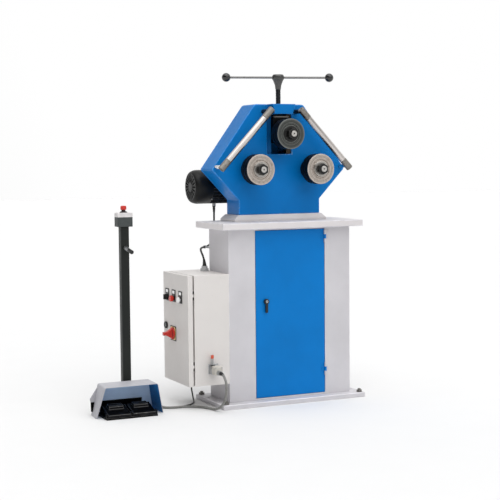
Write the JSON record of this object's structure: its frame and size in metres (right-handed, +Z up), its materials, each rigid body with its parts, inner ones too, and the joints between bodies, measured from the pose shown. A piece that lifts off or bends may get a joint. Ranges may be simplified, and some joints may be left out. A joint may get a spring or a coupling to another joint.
{
  "type": "angle roll bender",
  "caption": "Powered roll bender for angle and flat bar: grooved rolls on a blue head with side guide rollers, on a grey cabinet stand with control box and foot pedal.",
  "frame": {"origin": "centre of the base plate's underside, on the floor", "axes": "+Z up, -Y towards the operator at the rolls, +X to the operator's right"},
  "size_m": [1.304, 0.5892, 1.5245],
  "materials": {
    "stand_paint": "semi-gloss light grey paint",
    "riser_paint": "grey paint",
    "blue_paint": "semi-gloss blue paint",
    "bolt_steel": "darkened bolt steel",
    "hinge_steel": "plain steel",
    "black_plastic": "moulded black plastic",
    "gloss_black": "polished black plastic",
    "bearing_steel": "ground steel",
    "roll_steel": "worn turned steel",
    "spindle_steel": "turned steel",
    "gear_steel": "cut steel, oiled",
    "wheel_bronze": "bronze",
    "rotor_metal": "cast",
    "guide_chrome": "polished",
    "dark_steel": "blackened steel",
    "handle_steel": "darkened steel",
    "motor_paint": "satin black paint",
    "box_paint": "textured light grey powder coat",
    "component_plastic": "moulded",
    "plate_black": "moulded black plastic",
    "red_plastic": "moulded red plastic",
    "white_plastic": "moulded white plastic",
    "connector_metal": "die-cast, painted grey",
    "grey_cable": "grey sheath",
    "dark_cable": "dark sheath",
    "pedal_black": "black paint, worn at the edges",
    "hood_paint": "light grey outside, blue inside",
    "stop_grey": "moulded grey plastic"
  },
  "bodies": {
    "frame": {"base_plate": "stand_paint", "stand_body": "stand_paint", "table_top": "stand_paint", "riser_plate": "riser_paint", "levelling_bolts": "bolt_steel", "door_hinges": "hinge_steel", "head_housing": "blue_paint", "head_rear_cover": "blue_paint", "head_bearings": "bearing_steel", "slide_gibs": "dark_steel", "screw_bridge": "blue_paint", "guide_posts": "guide_chrome", "guide_rods": "dark_steel", "gearbox_housing": "motor_paint", "motor_body": "motor_paint", "motor_fan_cover": "motor_paint", "motor_terminal_box": "motor_paint", "motor_cable": "dark_cable", "cable_fittings": "stop_grey", "ebox_body": "box_paint", "ebox_components": "component_plastic", "connector_base": "connector_metal", "connector_hood": "connector_metal", "pedal_cable": "grey_cable", "stop_cable": "dark_cable", "pedal_base": "pedal_black", "pedal_hood": "hood_paint", "pedal_post": "pedal_black", "stop_box": "stop_grey"},
    "left_spindle": {"left_shaft": "spindle_steel", "left_roll": "roll_steel", "left_gear": "gear_steel"},
    "right_spindle": {"right_shaft": "spindle_steel", "right_roll": "roll_steel", "right_gear": "gear_steel"},
    "drive_pinion": {"pinion_shaft": "gear_steel", "worm_wheel": "wheel_bronze"},
    "motor_drive": {"motor_rotor": "rotor_metal", "worm": "gear_steel"},
    "slide_block": {"top_block": "dark_steel"},
    "top_spindle": {"top_shaft": "spindle_steel", "top_roll": "roll_steel"},
    "screw": {"feed_screw": "handle_steel", "screw_handle": "handle_steel", "handle_knobs": "gloss_black"},
    "left_guide": {"left_guide_roller": "guide_chrome"},
    "right_guide": {"right_guide_roller": "guide_chrome"},
    "cabinet_door": {"stand_door": "blue_paint"},
    "cabinet_handle": {"stand_door_handle": "black_plastic"},
    "box_door": {"ebox_door": "box_paint", "control_plates": "plate_black"},
    "main_switch": {"switch_handle": "red_plastic"},
    "selector": {"selector_knob": "black_plastic"},
    "red_button": {"stop_push": "red_plastic"},
    "white_button": {"start_push": "white_plastic"},
    "box_lock": {"ebox_lock": "hinge_steel"},
    "plug_lever": {"connector_lever": "red_plastic"},
    "pedal_left": {"left_pedal": "pedal_black"},
    "pedal_right": {"right_pedal": "pedal_black"},
    "stop_button": {"stop_mushroom": "red_plastic"}
  },
  "joints": [
    {"name": "left_spin", "type": "hinge", "parent": "frame", "child": "left_spindle", "pos_m": [-0.154, -0.094, 1.079], "axis": [0, -1, 0], "continuous": true},
    {"name": "right_spin", "type": "hinge", "parent": "frame", "child": "right_spindle", "pos_m": [0.154, -0.094, 1.079], "axis": [0, -1, 0], "continuous": true},
    {"name": "pinion_spin", "type": "hinge", "parent": "frame", "child": "drive_pinion", "pos_m": [0, 0.218, 1.0614], "axis": [0, -1, 0], "continuous": true},
    {"name": "motor_spin", "type": "hinge", "parent": "frame", "child": "motor_drive", "pos_m": [-0.18, 0.218, 0.9984], "axis": [1, 0, 0], "continuous": true},
    {"name": "top_feed", "type": "slide", "parent": "frame", "child": "slide_block", "axis": [0, 0, 1], "range_m": [-0.045, 0.003]},
    {"name": "top_spin", "type": "hinge", "parent": "slide_block", "child": "top_spindle", "pos_m": [0, -0.094, 1.241], "axis": [0, -1, 0], "continuous": true},
    {"name": "screw_turn", "type": "hinge", "parent": "slide_block", "child": "screw", "pos_m": [0, 0.004, 1.4], "axis": [0, 0, 1], "range_deg": [-3245, 220]},
    {"name": "left_guide_spin", "type": "hinge", "parent": "frame", "child": "left_guide", "pos_m": [-0.2025, -0.081, 1.2185], "axis": [0.6856, 0, 0.728], "continuous": true},
    {"name": "right_guide_spin", "type": "hinge", "parent": "frame", "child": "right_guide", "pos_m": [0.2025, -0.081, 1.2185], "axis": [-0.6856, 0, 0.728], "continuous": true},
    {"name": "cabinet_door_swing", "type": "hinge", "parent": "frame", "child": "cabinet_door", "pos_m": [0.179, -0.1165, 0.416], "axis": [0, 0, 1], "range_deg": [0, 115]},
    {"name": "cabinet_handle_turn", "type": "hinge", "parent": "cabinet_door", "child": "cabinet_handle", "pos_m": [-0.128, -0.111, 0.476], "axis": [0, -1, 0], "range_deg": [0, 90]},
    {"name": "box_door_swing", "type": "hinge", "parent": "frame", "child": "box_door", "pos_m": [-0.4885, -0.1065, 0.36], "axis": [0, 0, 1], "range_deg": [0, 44]},
    {"name": "main_switch_turn", "type": "hinge", "parent": "box_door", "child": "main_switch", "pos_m": [-0.5125, 0.07, 0.333], "axis": [-1, 0, 0], "range_deg": [0, 90]},
    {"name": "selector_turn", "type": "hinge", "parent": "box_door", "child": "selector", "pos_m": [-0.5125, 0.14, 0.495], "axis": [-1, 0, 0], "range_deg": [-45, 45]},
    {"name": "red_button_press", "type": "slide", "parent": "box_door", "child": "red_button", "axis": [1, 0, 0], "range_m": [0, 0.004], "stiffness_N_per_m": 400},
    {"name": "white_button_press", "type": "slide", "parent": "box_door", "child": "white_button", "axis": [1, 0, 0], "range_m": [0, 0.004], "stiffness_N_per_m": 400},
    {"name": "box_lock_turn", "type": "hinge", "parent": "box_door", "child": "box_lock", "pos_m": [-0.5125, 0.155, 0.362], "axis": [-1, 0, 0], "range_deg": [0, 90]},
    {"name": "plug_lever_swing", "type": "hinge", "parent": "frame", "child": "plug_lever", "pos_m": [-0.4055, -0.127, 0.197], "axis": [1, 0, 0], "range_deg": [0, 38]},
    {"name": "pedal_left_press", "type": "hinge", "parent": "frame", "child": "pedal_left", "pos_m": [-0.8445, -0.112, 0.016], "axis": [-1, 0, 0], "range_deg": [0, 9], "stiffness_Nm_per_rad": 20},
    {"name": "pedal_right_press", "type": "hinge", "parent": "frame", "child": "pedal_right", "pos_m": [-0.7295, -0.112, 0.016], "axis": [-1, 0, 0], "range_deg": [0, 9], "stiffness_Nm_per_rad": 20},
    {"name": "stop_button_press", "type": "slide", "parent": "frame", "child": "stop_button", "axis": [0, 0, -1], "range_m": [0, 0.006], "stiffness_N_per_m": 500}
  ],
  "couplings": [
    {"joint": "right_spin", "follows": "left_spin", "ratio": 1},
    {"joint": "pinion_spin", "follows": "left_spin", "ratio": -1.8182},
    {"joint": "motor_spin", "follows": "left_spin", "ratio": 54.545},
    {"joint": "screw_turn", "follows": "top_feed", "rad_per_m": 1256.6}
  ]
}
